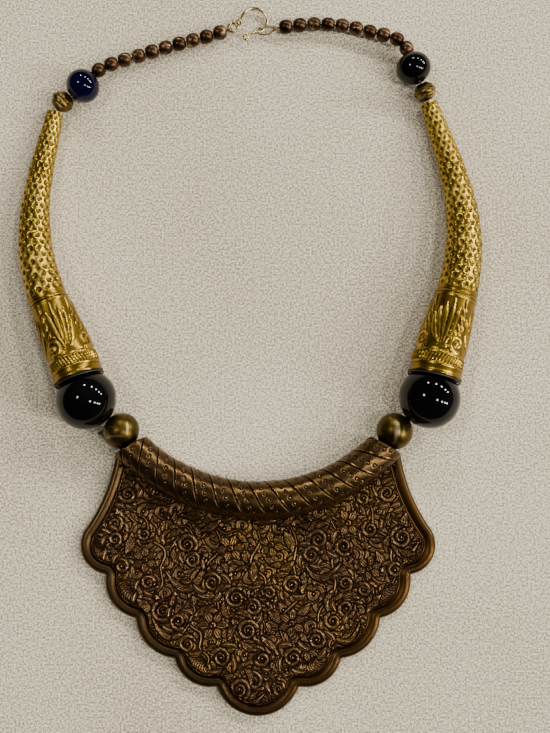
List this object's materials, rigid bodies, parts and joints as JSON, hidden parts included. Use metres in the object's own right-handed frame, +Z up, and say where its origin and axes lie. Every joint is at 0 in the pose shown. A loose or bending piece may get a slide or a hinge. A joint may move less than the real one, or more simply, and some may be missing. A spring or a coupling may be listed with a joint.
{
  "type": "bib necklace",
  "caption": "Bib necklace laid flat: a scalloped embossed bib under a curved tube, ball and round beads, brass-clad horns, spacer beads and a wire hook.",
  "frame": {"origin": "under the middle of the whole necklace, on the surface that it lies on", "axes": "+Z up from the surface, +Y from the bib to the clasp, +X to the right seen from above"},
  "size_m": [0.154, 0.2378, 0.0201],
  "materials": {
    "copper": "antiqued copper bronze, embossed, dark in its recesses",
    "gilt_brass": "embossed yellow brass sheet",
    "ball_brass": "aged olive brass, smooth",
    "black_glass": "polished black",
    "navy_glass": "polished deep navy",
    "dark_core": "dark horn-like core",
    "spacer_bronze": "dark antiqued copper, glossy",
    "cord": "twisted olive-brown thread",
    "hook_wire": "pale brass wire"
  },
  "bodies": {
    "root": {"bib_pendant": "copper", "left_ball_bead": "ball_brass", "right_ball_bead": "ball_brass", "left_large_bead": "black_glass", "right_large_bead": "black_glass", "left_horn_sheath": "gilt_brass", "right_horn_sheath": "gilt_brass", "left_horn_core": "dark_core", "right_horn_core": "dark_core", "left_cap_bead": "ball_brass", "right_cap_bead": "ball_brass", "left_upper_bead": "navy_glass", "right_upper_bead": "black_glass", "left_spacer_01": "spacer_bronze", "left_spacer_02": "spacer_bronze", "left_spacer_03": "spacer_bronze", "left_spacer_04": "spacer_bronze", "left_spacer_05": "spacer_bronze", "left_spacer_06": "spacer_bronze", "left_spacer_07": "spacer_bronze", "left_spacer_08": "spacer_bronze", "left_spacer_09": "spacer_bronze", "left_spacer_10": "spacer_bronze", "right_spacer_01": "spacer_bronze", "right_spacer_02": "spacer_bronze", "right_spacer_03": "spacer_bronze", "right_spacer_04": "spacer_bronze", "right_spacer_05": "spacer_bronze", "right_spacer_06": "spacer_bronze", "right_spacer_07": "spacer_bronze", "right_spacer_08": "spacer_bronze", "right_spacer_09": "spacer_bronze", "right_spacer_10": "spacer_bronze", "stringing_cord": "cord", "clasp_hook": "hook_wire"}
  },
  "joints": []
}
